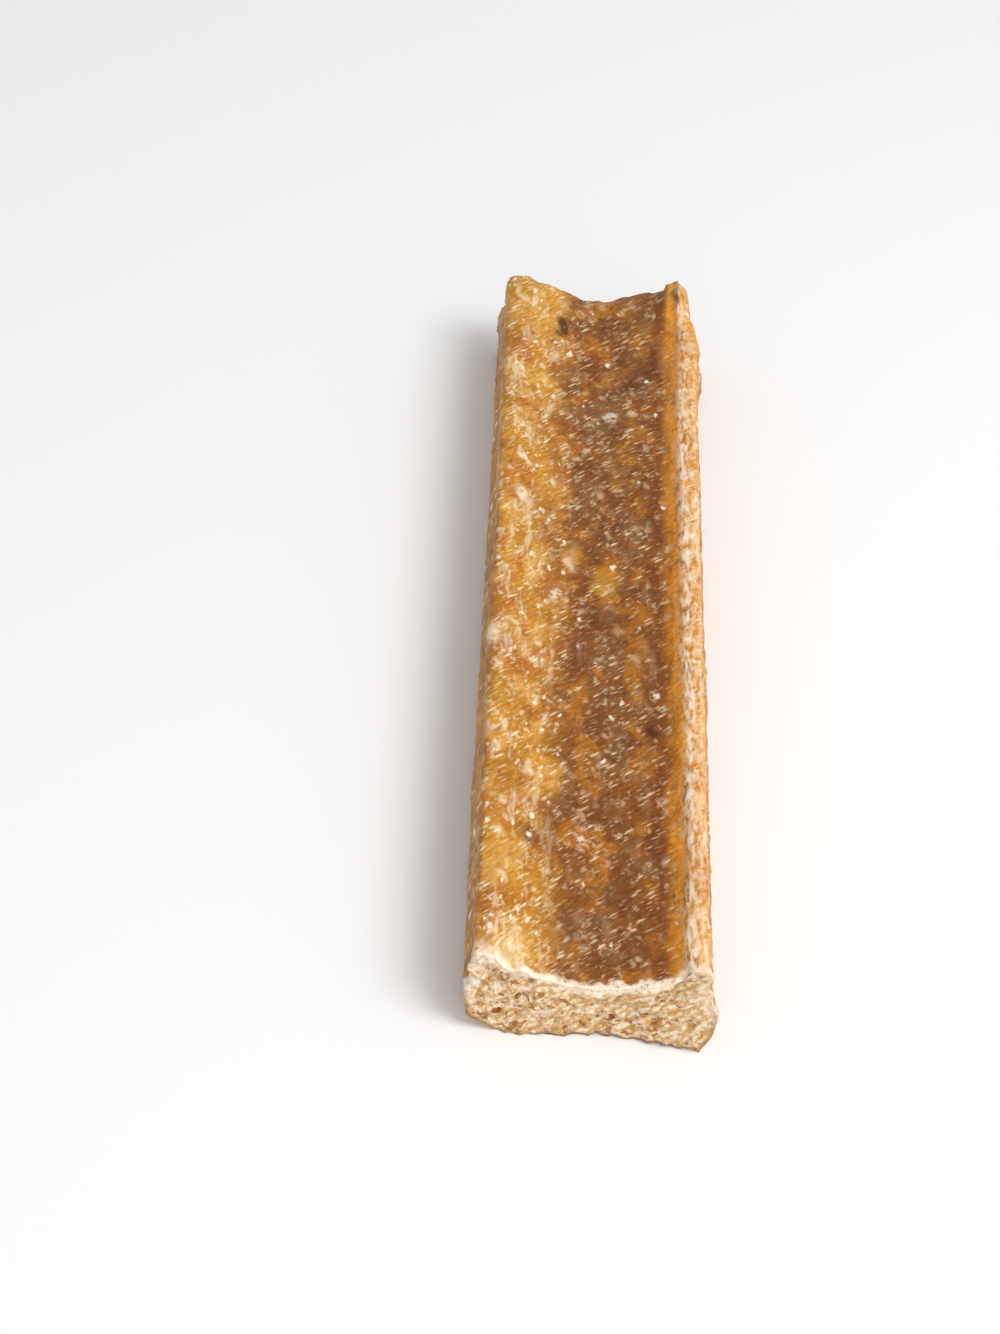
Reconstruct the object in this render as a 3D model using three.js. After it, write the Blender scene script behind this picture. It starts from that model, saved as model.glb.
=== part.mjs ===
// A bar of pressed and dried hard cheese. It lies on its flat underside. The top has sunk in along the
// bar while drying, so a broad channel runs between two rounded rims, and each side has a shallow groove.
// Both ends are rough cuts.
//
// Millimetres. X is across the bar, Y along it and Z up. The origin is at the middle of the underside.

import * as THREE from 'three';

// Driving dimensions
const LENGTH = 148; // over the two cut ends
const WIDTH = 33; // over the bulges halfway up the sides
const BASE_WIDTH = 30.4; // of the flat underside
const RIM_HEIGHT = 15; // from the underside to the top of the rims
const CREST_SPACING = 28.6; // between the tops of the two rims
const CHANNEL_DEPTH = 5.8; // from the rims down to the deepest line of the channel, at the near end
const FAR_DEPTH_SHARE = 0.7; // of CHANNEL_DEPTH that is left at the far end
const BULGE_HEIGHT = 7.5; // from the underside to the widest line of each side
const GROOVE_HEIGHT = 11.2; // from the underside to the groove along each side
const GROOVE_DEPTH = 1.1; // of that groove, in from the bulge below it
const RIM_PHASE = 2; // radians by which the rims dip out of step with the sides
const SIDE_WAVE = 0.5; // how far the sides fall in and out along the bar
const RIM_WAVE = 0.4; // how far the rims dip along the bar, at their tops
const RIM_WAVE_START = 0.6; // where the dips begin, as a part of RIM_HEIGHT
const LONG_WAVE = 74; // from one long dip to the next, along the bar
const SHORT_WAVE = 27.3; // from one short dip to the next
const LONG_WAVE_SHARE = 0.3; // of a wave's full size, either way
const SHORT_WAVE_SHARE = 0.2;
const CUT_SLANT = 1.2; // how far each cut end falls back from its right side to its left
const CHIP_WIDTH = 3; // of the corner lost under the near end, at the left
const CHIP_HEIGHT = 3;
const CHIP_REACH = 1; // points this far in from the edge of the underside still belong to that corner
const END_TOLERANCE = 0.01; // points this close to an end lie on its cut
const LENGTH_STEPS = 20;
const CURVE_STEPS = 2; // facets between two neighbouring points of the section

// One side of the section, from the underside up to the rim: how far in from the widest line, and how
// high, as a part of RIM_HEIGHT. It has a bulge, a groove over it, and the shoulder of the rim. It is drawn
// for the right side, and the left side is its mirror image.
const SIDE = [
  [0.6, 0.12],
  [0.2, 0.32],
  [0, BULGE_HEIGHT / RIM_HEIGHT],
  [GROOVE_DEPTH * 0.45, 0.62],
  [GROOVE_DEPTH, GROOVE_HEIGHT / RIM_HEIGHT],
  [GROOVE_DEPTH + 0.1, 0.87],
  [1.5, 0.97],
];

// The top of the section, from the right rim to the left one: how far across, as a part of the way from
// the middle to a crest, and how deep, as a part of CHANNEL_DEPTH. The right wall is steep and narrow, and
// the left wall runs out into a long slope.
const TOP = [
  [0.99, 0],
  [0.92, 0.14],
  [0.83, 0.42],
  [0.72, 0.6],
  [0.45, 0.82],
  [0.12, 0.98],
  [-0.15, 1],
  [-0.4, 0.9],
  [-0.58, 0.68],
  [-0.74, 0.4],
  [-0.88, 0.12],
  [-1, 0],
];

// Sizes that follow from them
const halfLength = LENGTH / 2;
const halfWidth = WIDTH / 2;
const halfBase = BASE_WIDTH / 2;
const halfCrest = CREST_SPACING / 2;

/** The outline across the bar: a straight underside, then one smooth curve up, over the top and down. */
function sectionOutline() {
  const right = SIDE.map(([inset, height]) => new THREE.Vector2(halfWidth - inset, height * RIM_HEIGHT));
  const top = TOP.map(([across, depth]) => {
    return new THREE.Vector2(across * halfCrest, RIM_HEIGHT - depth * CHANNEL_DEPTH);
  });
  const left = right.map(({ x, y }) => new THREE.Vector2(-x, y)).reverse();
  const outline = new THREE.Shape();
  outline.moveTo(-halfBase, 0);
  outline.lineTo(halfBase, 0);
  outline.splineThru([...right, ...top, ...left, new THREE.Vector2(-halfBase, 0)]);
  return outline;
}

/** A wave along the bar, from -1 to 1. */
function wave(along, length, phase) {
  return Math.sin((2 * Math.PI * along) / length + phase);
}

/** How far in, from 0 to 1, a side or rim has dried at this place along the bar. */
function shrinkage(along, phase) {
  const long = LONG_WAVE_SHARE * wave(along, LONG_WAVE, phase);
  const short = SHORT_WAVE_SHARE * wave(along, SHORT_WAVE, 2 * phase);
  return 0.5 + long + short;
}

/** How far a point of the channel rises, as the channel grows shallower towards the far end. */
function channelRise({ x, y, z }) {
  const isChannel = Math.abs(x) < halfCrest && z > BULGE_HEIGHT;
  const farShare = (y + halfLength) / LENGTH;
  return isChannel ? (RIM_HEIGHT - z) * (1 - FAR_DEPTH_SHARE) * farShare : 0;
}

/** Turns the straight bar into the dried one: wavy sides, dipping rims, slanting ends, a lost corner. */
function dryAndCut(point) {
  const { x, y, z } = point;
  const side = Math.sign(x);
  const end = Math.sign(y);
  const outward = x / halfWidth;
  const rimShare = Math.max(z / RIM_HEIGHT - RIM_WAVE_START, 0) / (1 - RIM_WAVE_START);
  const isAtEnd = Math.abs(y) > halfLength - END_TOLERANCE;
  const isLostCorner = isAtEnd && end < 0 && x < CHIP_REACH - halfBase && z < CHIP_HEIGHT;

  point.z += channelRise(point);
  point.x -= outward * SIDE_WAVE * shrinkage(y, side);
  point.z -= rimShare * RIM_WAVE * shrinkage(y, RIM_PHASE + side);
  if (isAtEnd) {
    point.y -= (end * CUT_SLANT * (1 - outward)) / 2;
  }
  if (isLostCorner) {
    point.x += CHIP_WIDTH * (1 - z / CHIP_HEIGHT);
  }
}

/** The section carried along the bar, with the far end at +Y. */
function barGeometry() {
  const geometry = new THREE.ExtrudeGeometry(sectionOutline(), {
    depth: LENGTH,
    steps: LENGTH_STEPS,
    curveSegments: CURVE_STEPS,
    bevelEnabled: false,
  });
  geometry.translate(0, 0, -halfLength);
  geometry.rotateX(Math.PI / 2);

  const positions = geometry.attributes.position;
  const point = new THREE.Vector3();
  for (let i = 0; i < positions.count; i += 1) {
    point.fromBufferAttribute(positions, i);
    dryAndCut(point);
    positions.setXYZ(i, point.x, point.y, point.z);
  }

  geometry.computeBoundingBox();
  const middle = geometry.boundingBox.getCenter(new THREE.Vector3());
  geometry.translate(-middle.x, -middle.y, -geometry.boundingBox.min.z);
  geometry.computeVertexNormals();
  return geometry;
}

const driedCheese = new THREE.MeshStandardMaterial({ color: 0xb5722c, roughness: 0.55, metalness: 0 });

const cheeseBar = new THREE.Mesh(barGeometry(), driedCheese);
cheeseBar.name = 'cheese_bar';

const group = new THREE.Group();
group.add(cheeseBar);

export default group;
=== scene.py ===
"""A bar of pressed and dried hard cheese, laid flat on a pale table.

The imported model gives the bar's size and place. The bar is one closed surface: an outline across the bar is
carried along it, and each cut end closes with rings that shrink from the outline to a short line inside it.
Curd grains, furrows, pits and the frayed lips of the cuts are relief on that surface. One finish dresses it,
with its pressed faces and its cut faces told apart by values stored on the surface.
"""

import functools
import itertools
import logging
import math
from dataclasses import dataclass
from enum import Enum, IntEnum

import bpy
import numpy as np
from mathutils import Matrix, Vector


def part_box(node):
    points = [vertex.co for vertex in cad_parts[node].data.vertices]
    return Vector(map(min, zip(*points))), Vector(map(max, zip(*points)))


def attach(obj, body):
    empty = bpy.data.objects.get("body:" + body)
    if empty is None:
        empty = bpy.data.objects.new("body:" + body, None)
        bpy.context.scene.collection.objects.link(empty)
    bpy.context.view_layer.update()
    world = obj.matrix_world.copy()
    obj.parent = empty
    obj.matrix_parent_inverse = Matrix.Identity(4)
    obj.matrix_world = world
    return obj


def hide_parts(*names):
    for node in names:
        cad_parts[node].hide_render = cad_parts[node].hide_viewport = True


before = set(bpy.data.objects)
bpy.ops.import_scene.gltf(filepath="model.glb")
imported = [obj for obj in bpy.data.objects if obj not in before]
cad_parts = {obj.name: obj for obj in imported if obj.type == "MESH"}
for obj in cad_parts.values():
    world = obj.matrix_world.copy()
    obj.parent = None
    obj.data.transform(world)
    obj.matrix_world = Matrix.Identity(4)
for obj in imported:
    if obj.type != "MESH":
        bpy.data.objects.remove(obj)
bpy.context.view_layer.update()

MM = 0.001
FLECK_SLANT = math.radians(40)  # of the flecks, turned from X towards Y
SLIDE = 0.9  # how far the curd's pattern slides along the bar, for each part that the top has sunk
SKIN = "skin"  # the attribute with each point's place on the unrolled surface
LAYOUT = "OFBake"  # the flat layout of the surface
SHEET = 150 * MM  # how much of the surface one side of that layout holds
TABLE = 256  # entries in each list of random draws, a power of two
log = logging.getLogger("cheese_bar")


def smoothstep(value: np.ndarray, low: float, high: float) -> np.ndarray:
    """Rises smoothly from 0 at low to 1 at high, or falls if low is above high.

    Args:
        value: Numbers to turn into shares.
        low: Where the share is 0.
        high: Where the share is 1.

    Returns:
        Shares from 0 to 1, 3t^2 - 2t^3 of the way t between the two limits.
    """
    way = np.clip((value - low) / (high - low), 0.0, 1.0)
    return way * way * (3.0 - 2.0 * way)


def bell(value: np.ndarray, middle: float, spread: float) -> np.ndarray:
    """A bell curve of height 1: e to the power of minus the squared distance from the middle, in spreads."""
    return np.exp(-(((value - middle) / spread) ** 2))


def smooth_curve(knots: np.ndarray, per_span: int = 24) -> np.ndarray:
    """A Catmull-Rom curve.

    The stretch between two knots is a cubic, and at each knot it runs along half the line between that
    knot's neighbours.

    Args:
        knots: The points that the curve goes through, one row each.
        per_span: Points on the stretch between two knots.

    Returns:
        The curve's points, one row each, ending on the last knot.
    """
    padded = np.concatenate([knots[:1], knots, knots[-1:]])
    before, start, stop, after = padded[:-3, None], padded[1:-2, None], padded[2:-1, None], padded[3:, None]
    t = (np.arange(per_span) / per_span)[None, :, None]
    leave, arrive = (stop - before) / 2, (after - start) / 2
    cubic = 2 * start - 2 * stop + leave + arrive
    square = 3 * stop - 3 * start - 2 * leave - arrive
    points = ((cubic * t + square) * t + leave) * t + start
    return np.concatenate([points.reshape(-1, knots.shape[1]), knots[-1:]])


def corner_hash(cell: np.ndarray, order: np.ndarray) -> np.ndarray:
    """An entry of TABLE for each lattice cell, by looking its X, Y and Z up in a shuffled list in turn.

    Args:
        cell: Whole X, Y and Z of each cell, along the last axis.
        order: The numbers below TABLE, shuffled.

    Returns:
        One number below TABLE for each cell.
    """
    last = TABLE - 1
    first = order[cell[..., 0] & last]
    second = order[(first + cell[..., 1]) & last]
    return order[(second + cell[..., 2]) & last]


@dataclass(frozen=True)
class SmoothNoise:
    """A smooth field in space, from about -1 to 1, the same on every run.

    Attributes:
        seed: Picks the field.
    """

    seed: int

    def __call__(self, points: np.ndarray, size: float | tuple[float, float, float]) -> np.ndarray:
        """Gradient noise: each lattice corner has a slope, and the slopes' heights are blended smoothly.

        Args:
            points: Places, with X, Y and Z along the last axis.
            size: How far apart the lattice corners are, for all axes or for each.

        Returns:
            The field at each point.
        """
        draw = np.random.default_rng(self.seed)
        order = draw.permutation(TABLE)
        slopes = draw.normal(size=(TABLE, 3))
        slopes /= np.linalg.norm(slopes, axis=1, keepdims=True)
        place = points / np.asarray(size)
        cell = np.floor(place).astype(np.int64)
        inside = place - cell
        ease = inside**3 * (inside * (inside * 6 - 15) + 10)
        total = np.zeros(points.shape[:-1])
        for step in itertools.product((0, 1), repeat=3):
            corner = np.array(step)
            pick = order[corner_hash(cell + corner, order)]
            weight = np.where(corner, ease, 1 - ease).prod(axis=-1)
            total += weight * (slopes[pick] * (inside - corner)).sum(axis=-1)
        return 1.6 * total  # brings the field to about -1 to 1

    def layered(self, points: np.ndarray, size: float, layers: int = 3) -> np.ndarray:
        """Several fields added up, each half the size and half the height of the one before.

        Args:
            points: Places, with X, Y and Z along the last axis.
            size: How far apart the first field's lattice corners are.
            layers: How many fields.

        Returns:
            The sum at each point.
        """
        return sum(SmoothNoise(self.seed + i)(points, size / 2**i) / 2**i for i in range(layers))


@dataclass(frozen=True)
class GrainField:
    """Round grains scattered in space, one in each cell of a lattice.

    Attributes:
        seed: Picks where the grains lie.
        spacing: Size of a lattice cell.
        radius: Smallest and largest radius of a grain, as shares of the spacing.
        share: How many of the cells hold a grain, from 0 to 1.
    """

    seed: int
    spacing: float
    radius: tuple[float, float] = (0.25, 0.55)
    share: float = 1.0

    def __call__(self, points: np.ndarray) -> np.ndarray:
        """How deep each point lies in a grain: 1 at a grain's middle, falling to 0 at its edge and beyond.

        Args:
            points: Places, with X, Y and Z along the last axis.

        Returns:
            The largest of 1 - (distance / radius)^2 over the 27 cells round each point, and at least 0.
        """
        draw = np.random.default_rng(self.seed)
        order = draw.permutation(TABLE)
        offsets = draw.uniform(0.15, 0.85, size=(TABLE, 3))
        radii = draw.uniform(*self.radius, size=TABLE) * (draw.uniform(size=TABLE) < self.share)
        radii = np.maximum(radii, 1e-6)  # an empty cell's grain is too small to hit
        place = points / self.spacing
        cell = np.floor(place).astype(np.int64)
        deepest = np.zeros(points.shape[:-1])
        for step in itertools.product((-1, 0, 1), repeat=3):
            near = cell + np.array(step)
            pick = corner_hash(near, order)
            squared = ((near + offsets[pick] - place) ** 2).sum(axis=-1)
            deepest = np.maximum(deepest, 1 - squared / radii[pick] ** 2)
        return deepest


@dataclass(frozen=True)
class Section:
    """The outline across the bar, seen from its near end: a flat underside, grooved sides and a sunken top.

    Attributes:
        width: Over the bulges of the sides.
        height: From the underside to the top of the rims.
        base_share: Width of the flat underside, as a share of the width.
        crest_share: Distance between the tops of the rims, as a share of the width.
        channel_share: Depth of the channel, as a share of the height.
        side: One side from the underside up, as shares of half the width and of the height.
        top: The top from the right rim to the left, as shares of half the crest distance and of the depth.
        underside_steps: Grid steps across the underside, and across the top.
        side_steps: Grid steps up each side.
    """

    width: float
    height: float
    base_share: float = 0.92
    crest_share: float = 0.867
    channel_share: float = 0.387
    side: tuple[tuple[float, float], ...] = (
        (0.945, 0.03), (0.963, 0.12), (0.988, 0.32), (1.0, 0.5),
        (0.97, 0.62), (0.933, 0.75), (0.928, 0.87), (0.909, 0.97),
    )
    top: tuple[tuple[float, float], ...] = (
        (0.99, 0.0), (0.93, 0.03), (0.86, 0.14), (0.79, 0.38), (0.7, 0.6), (0.45, 0.82), (0.12, 0.98),
        (-0.15, 1.0), (-0.4, 0.9), (-0.58, 0.68), (-0.74, 0.4), (-0.88, 0.12), (-1.0, 0.0),
    )
    underside_steps: int = 92
    side_steps: int = 34

    @property
    def depth(self) -> float:
        """Depth of the channel below the rims."""
        return self.height * self.channel_share

    @property
    def half_crest(self) -> float:
        """From the middle of the bar to the top of a rim."""
        return self.width * self.crest_share / 2

    def outline(self) -> np.ndarray:
        """The closed outline, counted from the left end of the underside, to the right, up, over and down.

        The underside is a straight line. One smooth curve goes up the right side, over the top and down the
        left side, and each stretch of it is cut into steps of equal length.

        Returns:
            X and Z of each point, one row each.
        """
        half = self.width / 2
        side = np.array(self.side) * (half, self.height)
        top = np.array(self.top) * (self.half_crest, -self.depth) + (0, self.height)
        corner = np.array([[half * self.base_share, 0.0]])
        mirror = np.array([-1.0, 1.0])
        knots = np.concatenate([corner, side, top, side[::-1] * mirror, corner * mirror])
        curve = smooth_curve(knots)
        run = np.concatenate([[0], np.cumsum(np.linalg.norm(np.diff(curve, axis=0), axis=1))])
        per_span = (len(curve) - 1) // (len(knots) - 1)
        right_crest = run[per_span * (len(side) + 1)]
        left_crest = run[per_span * (len(side) + len(top))]
        along = np.concatenate([
            np.linspace(0, right_crest, self.side_steps, endpoint=False),
            np.linspace(right_crest, left_crest, self.underside_steps, endpoint=False),
            np.linspace(left_crest, run[-1], self.side_steps, endpoint=False),
        ])
        over = np.stack([np.interp(along, run, curve[:, 0]), np.interp(along, run, curve[:, 1])], axis=1)
        reach = np.linspace(-corner[0, 0], corner[0, 0], self.underside_steps, endpoint=False)
        underside = np.stack([reach, np.zeros_like(reach)], axis=1)
        return np.concatenate([underside, over])

    def way_round(self) -> np.ndarray:
        """Arc length from the outline's first point to each of its points, and at last back to the first."""
        outline = self.outline()
        steps = np.linalg.norm(np.diff(outline, axis=0, append=outline[:1]), axis=1)
        return np.concatenate([[0.0], np.cumsum(steps)])

    def spine_places(self) -> np.ndarray:
        """Where each outline point ends on the inner line: 0 at its left end, more to the right."""
        across, up = self.underside_steps, self.side_steps
        return np.concatenate([
            np.arange(across), np.full(up, across), np.arange(across, 0, -1), np.zeros(up, int),
        ])


class Zone(Enum):
    """The values stored on the bar's surface, by which its finish tells one place from another."""

    CURD = "curd"  # large curd grains
    PALE = "pale"  # pale places: partly dried out, partly painted light on faces turned to the key lamp
    SCUFF_AND_HIGHLIGHT = "scuff"  # white along the rims: partly wear, partly painted highlight
    FOOT = "foot"  # painted shade: a dark line where the channel meets the right rim
    GLOW = "glow"  # where light comes through the thin right rim
    CUT = "cut"  # the cut faces
    LIP = "lip"  # the frayed white edge round a cut
    PIT = "pit"  # holes in a cut face
    STAIN = "stain"  # dark spots
    HONEY = "honey"  # clear yellow patches
    FLAKE = "flake"  # single large cream grains


class NoiseField(IntEnum):
    """The bar's fields of noise. Each number is added to the bar's seed."""

    SWELL = 0  # slow rise and fall of the surface
    FURROW = 1  # furrows along the bar
    FINE = 2  # the smallest unevenness
    LUMP = 3  # lumps of the pressed faces
    RAGGED = 5  # where a cut has torn the edge
    FRAY = 8  # lips of the cuts
    CUT_LUMP = 11  # lumps of the cut faces
    HOLE_BEND = 16  # bends the holes across the bar, and the next two seeds along and up it
    CUT_EDGE = 20  # wandering of the cuts
    STRAY_ACROSS = 30  # moves the zones across the bar
    PATCH = 31  # patches inside a zone
    STRAY_ALONG = 32  # moves the zones along the bar
    FRINGE = 33  # width of the white lips
    BROAD = 34  # large patches
    LINE = 35  # bends the lines beside the right rim


class GrainKind(IntEnum):
    """The bar's fields of grains. Each number is added to the bar's seed."""

    CURD = 0
    CRUMB = 1
    PIT = 2
    KNOB = 4
    CUT_CRUMB = 12
    LARGE_HOLE = 14
    SMALL_HOLE = 15


@dataclass(frozen=True)
class Blemish:
    """One spot that marks this bar, seen from above, in millimetres.

    Attributes:
        zone: What kind of spot it is.
        x: Its middle across the bar.
        y: Its middle along the bar.
        across: Half its size across the bar.
        along: Half its size along the bar.
        strength: How strong it is, from 0 to 1.
    """

    zone: Zone
    x: float
    y: float
    across: float
    along: float
    strength: float = 1.0

    def share(self, x: np.ndarray, y: np.ndarray) -> np.ndarray:
        """How strong the spot is at each place: full in its middle, and gone at its edge.

        Args:
            x: Places across the bar, in metres.
            y: Places along the bar, in metres.

        Returns:
            Shares from 0 to its strength.
        """
        reach = np.hypot((x / MM - self.x) / self.across, (y / MM - self.y) / self.along)
        return self.strength * smoothstep(reach, 1.35, 0.45)


BLEMISHES = (
    Blemish(Zone.STAIN, -6.3, 64.2, 1.0, 2.2),
    Blemish(Zone.STAIN, -7.2, 62.2, 0.9, 1.0, 0.8),
    Blemish(Zone.STAIN, -5.4, 66.0, 0.8, 0.8, 0.6),
    Blemish(Zone.STAIN, 11.2, 69.5, 0.9, 1.6, 0.8),
    Blemish(Zone.STAIN, 8.8, -26.5, 0.8, 1.5, 0.8),
    Blemish(Zone.STAIN, -8.5, -49.0, 2.0, 1.6, 0.5),
    Blemish(Zone.STAIN, 0.4, -3.0, 3.4, 3.0, 0.35),
    Blemish(Zone.STAIN, 6.0, 55.0, 5.0, 6.0, 0.35),
    Blemish(Zone.HONEY, -7.0, -36.0, 2.6, 4.2),
    Blemish(Zone.HONEY, 1.7, 5.0, 2.4, 4.0, 0.8),
    Blemish(Zone.HONEY, -8.6, 70.0, 2.6, 3.0),
    Blemish(Zone.HONEY, -9.5, 58.0, 1.6, 6.0, 0.7),
    Blemish(Zone.HONEY, -3.5, 9.5, 1.5, 3.0, 0.8),
    Blemish(Zone.FLAKE, -6.4, 0.4, 1.5, 1.1, 0.8),
    Blemish(Zone.FLAKE, -10.6, 19.0, 0.7, 2.2),
    Blemish(Zone.FLAKE, -1.3, -46.7, 0.7, 0.7),
    Blemish(Zone.FLAKE, 1.5, 43.5, 1.0, 1.1, 0.8),
    Blemish(Zone.FLAKE, 5.0, 44.0, 0.9, 0.9, 0.6),
    Blemish(Zone.FLAKE, -11.5, 28.0, 0.8, 1.2),
    Blemish(Zone.FLAKE, -3.6, 8.0, 0.9, 1.4, 0.7),
    Blemish(Zone.FLAKE, -14.3, -13.0, 1.0, 2.8),
)


@dataclass
class CheeseBar:
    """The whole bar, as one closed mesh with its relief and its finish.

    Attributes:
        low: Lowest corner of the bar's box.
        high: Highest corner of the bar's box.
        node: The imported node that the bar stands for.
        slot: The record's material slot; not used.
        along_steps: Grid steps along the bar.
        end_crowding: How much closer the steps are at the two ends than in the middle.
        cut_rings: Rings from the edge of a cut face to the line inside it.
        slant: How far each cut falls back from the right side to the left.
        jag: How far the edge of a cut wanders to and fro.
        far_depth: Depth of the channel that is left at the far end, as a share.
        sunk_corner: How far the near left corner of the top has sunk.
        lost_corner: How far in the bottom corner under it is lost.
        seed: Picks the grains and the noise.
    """

    low: Vector
    high: Vector
    node: str = "cheese_bar"
    slot: str = "dried_cheese"
    along_steps: int = 330
    end_crowding: float = 0.35
    cut_rings: int = 18
    slant: float = 1.2 * MM
    jag: float = 0.45 * MM
    far_depth: float = 0.7
    sunk_corner: float = 1.9 * MM
    lost_corner: float = 3.2 * MM
    seed: int = 7

    def __post_init__(self) -> None:
        """Works out the section from the box."""
        self.section = Section(width=self.high.x - self.low.x, height=self.high.z - self.low.z)

    def noise(self, field: NoiseField) -> SmoothNoise:
        """One of the bar's fields of noise."""
        return SmoothNoise(self.seed + field)

    def grains(
        self, kind: GrainKind, spacing: float, radius: tuple[float, float], share: float,
    ) -> GrainField:
        """One of the bar's fields of grains.

        Args:
            kind: Which one.
            spacing: Size of a lattice cell.
            radius: Smallest and largest radius of a grain, as shares of the spacing.
            share: How many of the cells hold a grain, from 0 to 1.

        Returns:
            The field.
        """
        return GrainField(self.seed + kind, spacing, radius, share)

    @property
    def half_length(self) -> float:
        """From the middle of the bar to a cut end."""
        return (self.high.y - self.low.y) / 2

    def end_place(self, x: np.ndarray, z: np.ndarray, end: int) -> np.ndarray:
        """Y of a cut face before its roughness: a plane that falls back to the left, with its edge wandering.

        The near cut's foot stands out again at both sides.

        Args:
            x: Places across the bar.
            z: Places up the bar.
            end: 1 for the far end and -1 for the near one.

        Returns:
            Y of the cut at each place.
        """
        back = self.slant * (0.5 - x / self.section.width)
        places = np.stack([x, np.full_like(x, end * self.half_length), z], axis=-1)
        wander = self.jag * self.noise(NoiseField.CUT_EDGE).layered(places, 3.2 * MM, 3)
        half = self.section.half_crest
        left = smoothstep(x, 0.2 * half, -0.5 * half)
        right = smoothstep(x, 0.4 * half, 0.8 * half)
        foot = (1.1 * left + 0.9 * right) * MM * smoothstep(z, 0.8 * self.section.height, 0) * (end < 0)
        return end * (self.half_length - self.jag - back + foot + wander)

    def body(self) -> np.ndarray:
        """The outline carried along the bar: point (u, v) is outline point u, a share v of the way along.

        The shares are crowded towards both ends, v = s - c sin(2 pi s) / (2 pi), and each outline point's
        line runs from its place on the near cut to its place on the far one.

        Returns:
            X, Y and Z on a grid, outline points by steps along.
        """
        outline = self.section.outline()
        even = np.linspace(0, 1, self.along_steps + 1)
        share = even - self.end_crowding * np.sin(2 * np.pi * even) / (2 * np.pi)
        x, z = outline[:, 0], outline[:, 1]
        near, far = self.end_place(x, z, -1), self.end_place(x, z, 1)
        y = near[:, None] + (far - near)[:, None] * share
        return np.stack(np.broadcast_arrays(x[:, None], y, z[:, None]), axis=-1)

    @staticmethod
    def outward(grid: np.ndarray) -> np.ndarray:
        """Unit normals of a grid closed round its first axis: the grid's two slopes, crossed.

        Args:
            grid: Places, with the way round along the first axis and the bar along the second.

        Returns:
            One normal for each place.
        """
        round_it = np.roll(grid, -1, axis=0) - np.roll(grid, 1, axis=0)
        along = np.gradient(grid, axis=1)
        normal = np.cross(round_it, along)
        return normal / np.linalg.norm(normal, axis=-1, keepdims=True)

    def end_distance(self, points: np.ndarray) -> np.ndarray:
        """How far each point lies in from the nearer cut, along the bar.

        Args:
            points: Places on the bar.

        Returns:
            The smaller of its distances from the two cuts.
        """
        x, y, z = (points[..., i] for i in range(3))
        return np.minimum(y - self.end_place(x, z, -1), self.end_place(x, z, 1) - y)

    def worn_corner(self, points: np.ndarray) -> np.ndarray:
        """How much of the near left corner of the top is broken away.

        Args:
            points: Places on the bar.

        Returns:
            A share from 0 to 1 at each: a share for nearness to the cut, times one for lying left and one
            for lying high.
        """
        half, height = self.section.half_crest, self.section.height
        x, y, z = (points[..., i] for i in range(3))
        back = smoothstep(self.end_distance(points), 3.4 * MM, 0.8 * MM) * (y < 0)
        left = smoothstep(x, -0.55 * half, -0.8 * half)
        return back * left * smoothstep(z, 0.6 * height, 0.85 * height)

    def shifted(self, grid: np.ndarray) -> np.ndarray:
        """How far the sides have moved to the right.

        The near end has lost its bottom left corner. The right side swells at the near cut, bulges near the
        far one and steps in beyond that bulge. The left rim leans out.

        Args:
            grid: The plain body.

        Returns:
            The move at each point, less than 0 to the left.
        """
        x, y, z = (grid[..., i] for i in range(3))
        height, half = self.section.height, self.section.half_crest
        from_near = y + self.half_length
        low_left = smoothstep(z, 3.2 * MM, 0) * smoothstep(x, -10 * MM, -15 * MM)
        lost = self.lost_corner * smoothstep(from_near, 4.5 * MM, 0.5 * MM) * low_left
        right = smoothstep(x, 0.8 * half, 1.05 * half)
        at_cut = smoothstep(from_near, 3.5 * MM, 1 * MM)
        swell = 0.8 * MM * right * bell(z, 0.3 * height, 0.32 * height) * at_cut
        bulge = 0.7 * MM * right * bell(y, 58 * MM, 4 * MM)
        step = -0.8 * MM * right * smoothstep(y, 63 * MM, 67 * MM)
        lean = -0.7 * MM * smoothstep(z, 0.7 * height, 0.95 * height) * smoothstep(x, -0.75 * half, -half)
        return lost + swell + bulge + step + lean

    def fuller(self, grid: np.ndarray) -> np.ndarray:
        """How much higher the top is than the plain one.

        The left rim is fuller on its inner side all along. The far end is fuller on both slopes of the
        channel, and its right rim carries a knob.

        Args:
            grid: The plain body.

        Returns:
            The rise at each point of the top, and beyond it a number without use.
        """
        x, y = grid[..., 0], grid[..., 1]
        half = self.section.half_crest
        rim = 0.4 * bell(x, -0.89 * half, 1.2 * MM)
        slopes = 1.5 * bell(x, -0.55 * half, 4 * MM) + 1.5 * bell(x, 0.49 * half, 5 * MM)
        knob = 1.8 * np.minimum(1.6 * bell(x, 0.79 * half, 1.5 * MM), 1)
        at_far, at_knob = smoothstep(y, 56 * MM, 72 * MM), smoothstep(y, 61 * MM, 72 * MM)
        return (rim + slopes * at_far + knob * at_knob) * MM

    def dried(self, grid: np.ndarray) -> np.ndarray:
        """The plain body bent into the dried one.

        The channel grows shallower towards the far end: its points rise by a share of their depth. The near
        left corner of the top sinks, the top is fuller in places, and the sides move.

        Args:
            grid: The plain body.

        Returns:
            The body's points after the change.
        """
        x, y, z = (grid[..., i] for i in range(3))
        height, half = self.section.height, self.section.half_crest
        far_share = y / (2 * self.half_length) + 0.5
        channel = smoothstep(np.abs(x), 1.03 * half, 0.97 * half) * (z > height / 2)
        rise = channel * (height - z) * (1 - self.far_depth) * far_share
        sink = self.sunk_corner * self.worn_corner(grid)
        up = z + rise - sink + self.fuller(grid) * channel
        return np.stack([x + self.shifted(grid), y, up], axis=-1)

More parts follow.
